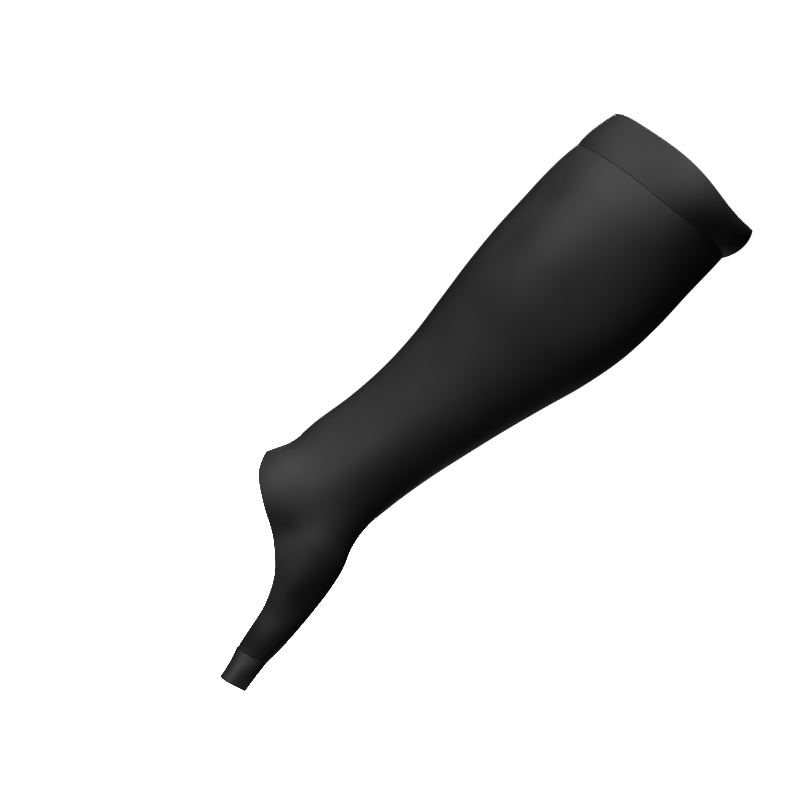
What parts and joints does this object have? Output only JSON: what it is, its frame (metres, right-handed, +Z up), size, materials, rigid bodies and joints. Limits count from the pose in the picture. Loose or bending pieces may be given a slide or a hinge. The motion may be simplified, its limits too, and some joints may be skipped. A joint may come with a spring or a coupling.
{
  "type": "gaming arm sleeve",
  "caption": "Black stretch-knit gaming arm sleeve in its worn shape: forearm tube with a doubled top cuff, running along the little-finger side of the palm to a short finger tube.",
  "frame": {"origin": "middle of the cuff's top rim, where the sleeve grips the forearm below the elbow", "axes": "+Z up the forearm towards the elbow, -Y to the palm side, -X to the thumb side"},
  "size_m": [0.1081, 0.0949, 0.3937],
  "materials": {
    "sleeve_knit": "matte fine stretch knit",
    "cuff_knit": "matte fine stretch knit, doubled"
  },
  "bodies": {
    "root": {"forearm_sleeve": "sleeve_knit", "top_cuff": "cuff_knit", "finger_tube": "sleeve_knit"}
  },
  "joints": []
}
